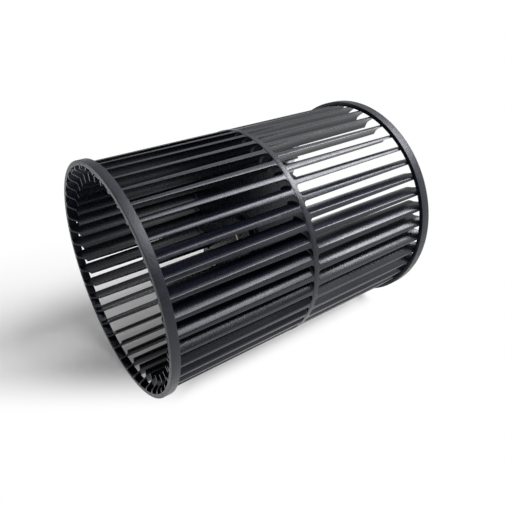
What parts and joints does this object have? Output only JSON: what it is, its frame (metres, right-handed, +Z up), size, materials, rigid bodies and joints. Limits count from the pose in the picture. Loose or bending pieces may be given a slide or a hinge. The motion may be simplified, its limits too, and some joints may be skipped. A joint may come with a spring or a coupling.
{
  "type": "cross flow fan wheel",
  "caption": "Drum-shaped fan wheel: two staggered cages of curved blades on a centre disc between proud end hoops, open at both ends, with a bushed shaft bore.",
  "frame": {"origin": "on the shaft axis, in the plane of the lower rim that the wheel stands on", "axes": "+Z up along the shaft axis to the upper open end; +X through the root of a blade of the upper cage"},
  "size_m": [0.15, 0.15, 0.201],
  "materials": {
    "black_plastic": "injection-moulded black plastic with a soft satin sheen",
    "bush_steel": "turned, zinc-plated",
    "screw_steel": "blackened steel"
  },
  "bodies": {
    "root": {"fan_wheel": "black_plastic", "hub_bush": "bush_steel", "grub_screw": "screw_steel"}
  },
  "joints": []
}
